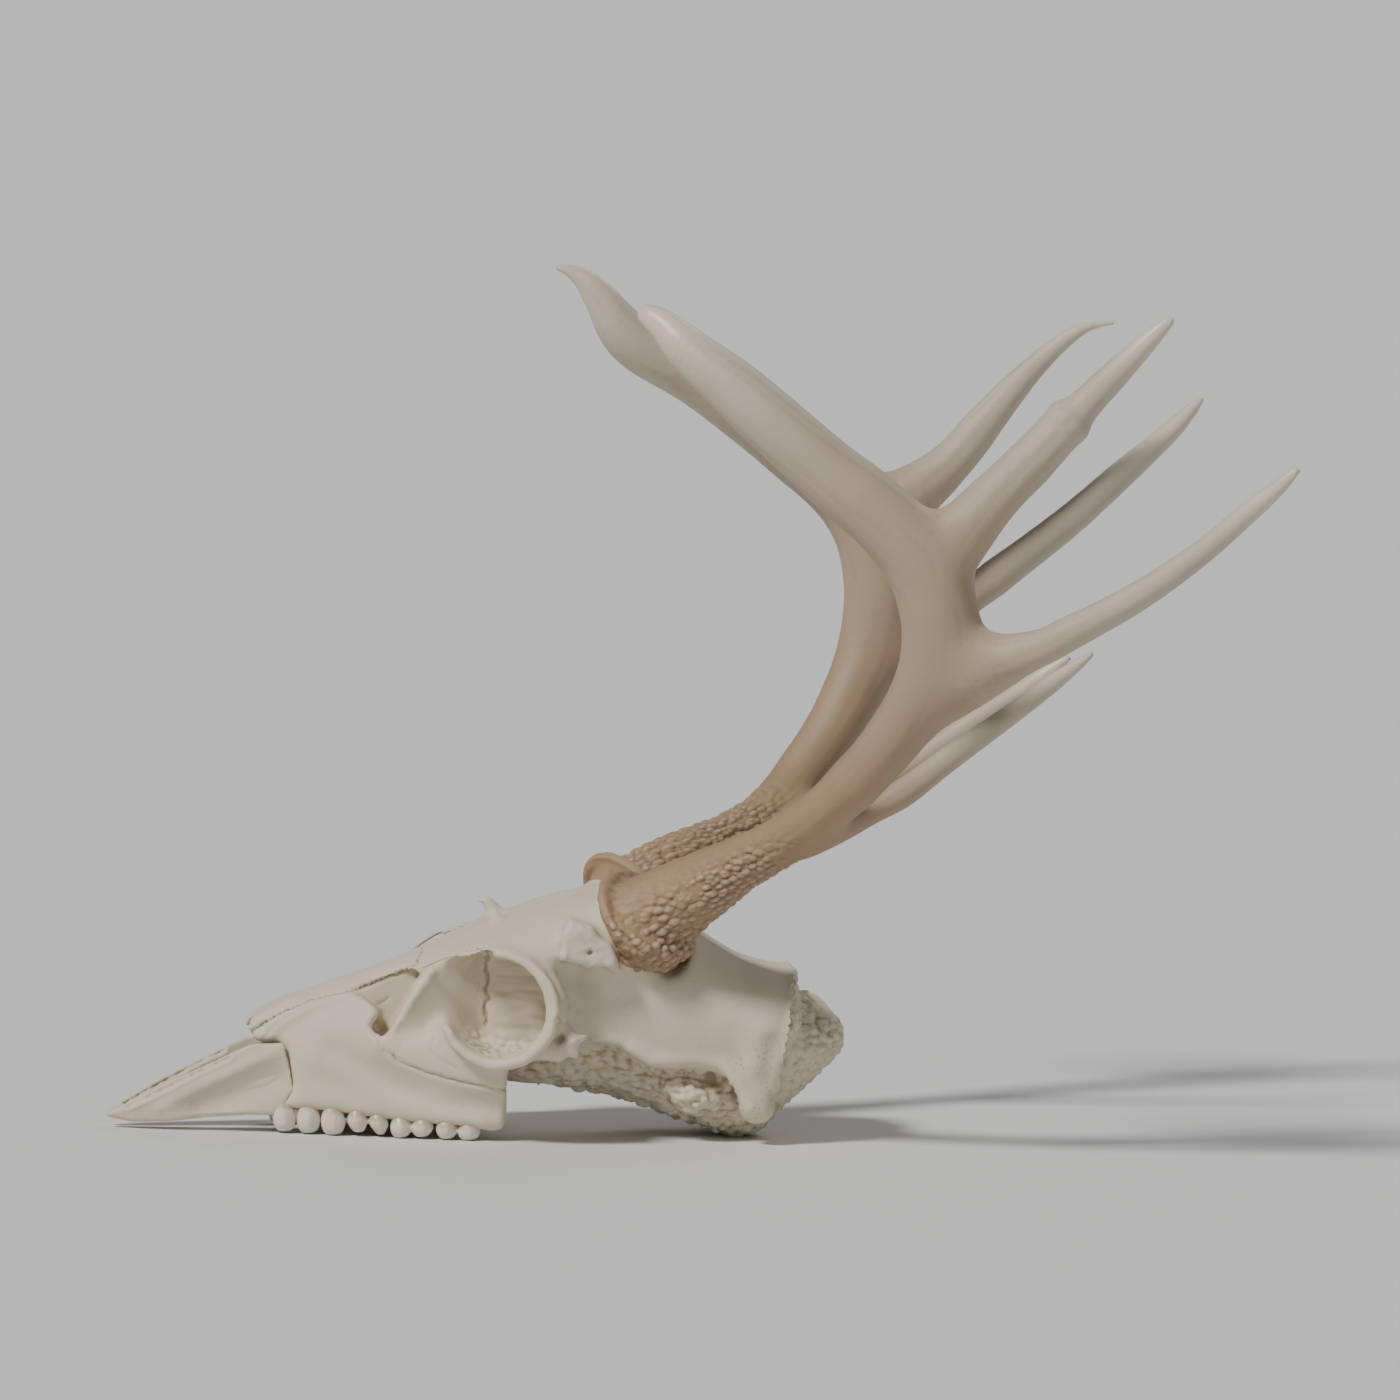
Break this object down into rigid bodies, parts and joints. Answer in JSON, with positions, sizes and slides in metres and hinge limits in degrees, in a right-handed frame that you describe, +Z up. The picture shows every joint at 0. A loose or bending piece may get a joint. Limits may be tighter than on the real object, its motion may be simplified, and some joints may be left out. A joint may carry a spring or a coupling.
{
  "type": "white-tailed deer skull with antlers",
  "caption": "Life-size skull of a white-tailed deer buck with both antlers, without lower jaw or cheek arches, lying as it rests.",
  "frame": {"origin": "under the middle of the whole skull, at the level it rests on", "axes": "+X from the nose to the back of the head, -Y the deer's left, +Z up"},
  "size_m": [0.4336, 0.3262, 0.3258],
  "materials": {
    "bone": "dry, cleaned bone, matt, with fine pores and faint sutures",
    "bone_base": "rough, porous bone of the skull base, matt",
    "antler": "antler, pearled and brown at the base, smoother and paler to the tips"
  },
  "bodies": {
    "root": {"nasal_left": "bone", "frontal_left": "bone", "lacrimal_left": "bone", "jugal_left": "bone", "maxilla_left": "bone", "temporal_left": "bone", "premaxilla_left": "bone", "burr_left": "antler", "beam_lower_left": "antler", "beam_middle_left": "antler", "beam_tip_left": "antler", "tine_brow_left": "antler", "tine_second_left": "antler", "tine_third_left": "antler", "nasal_right": "bone", "frontal_right": "bone", "lacrimal_right": "bone", "jugal_right": "bone", "maxilla_right": "bone", "temporal_right": "bone", "premaxilla_right": "bone", "burr_right": "antler", "beam_lower_right": "antler", "beam_middle_right": "antler", "beam_tip_right": "antler", "tine_brow_right": "antler", "tine_second_right": "antler", "tine_third_right": "antler", "parietal": "bone", "occipital": "bone_base", "sphenoid": "bone_base"}
  },
  "joints": []
}
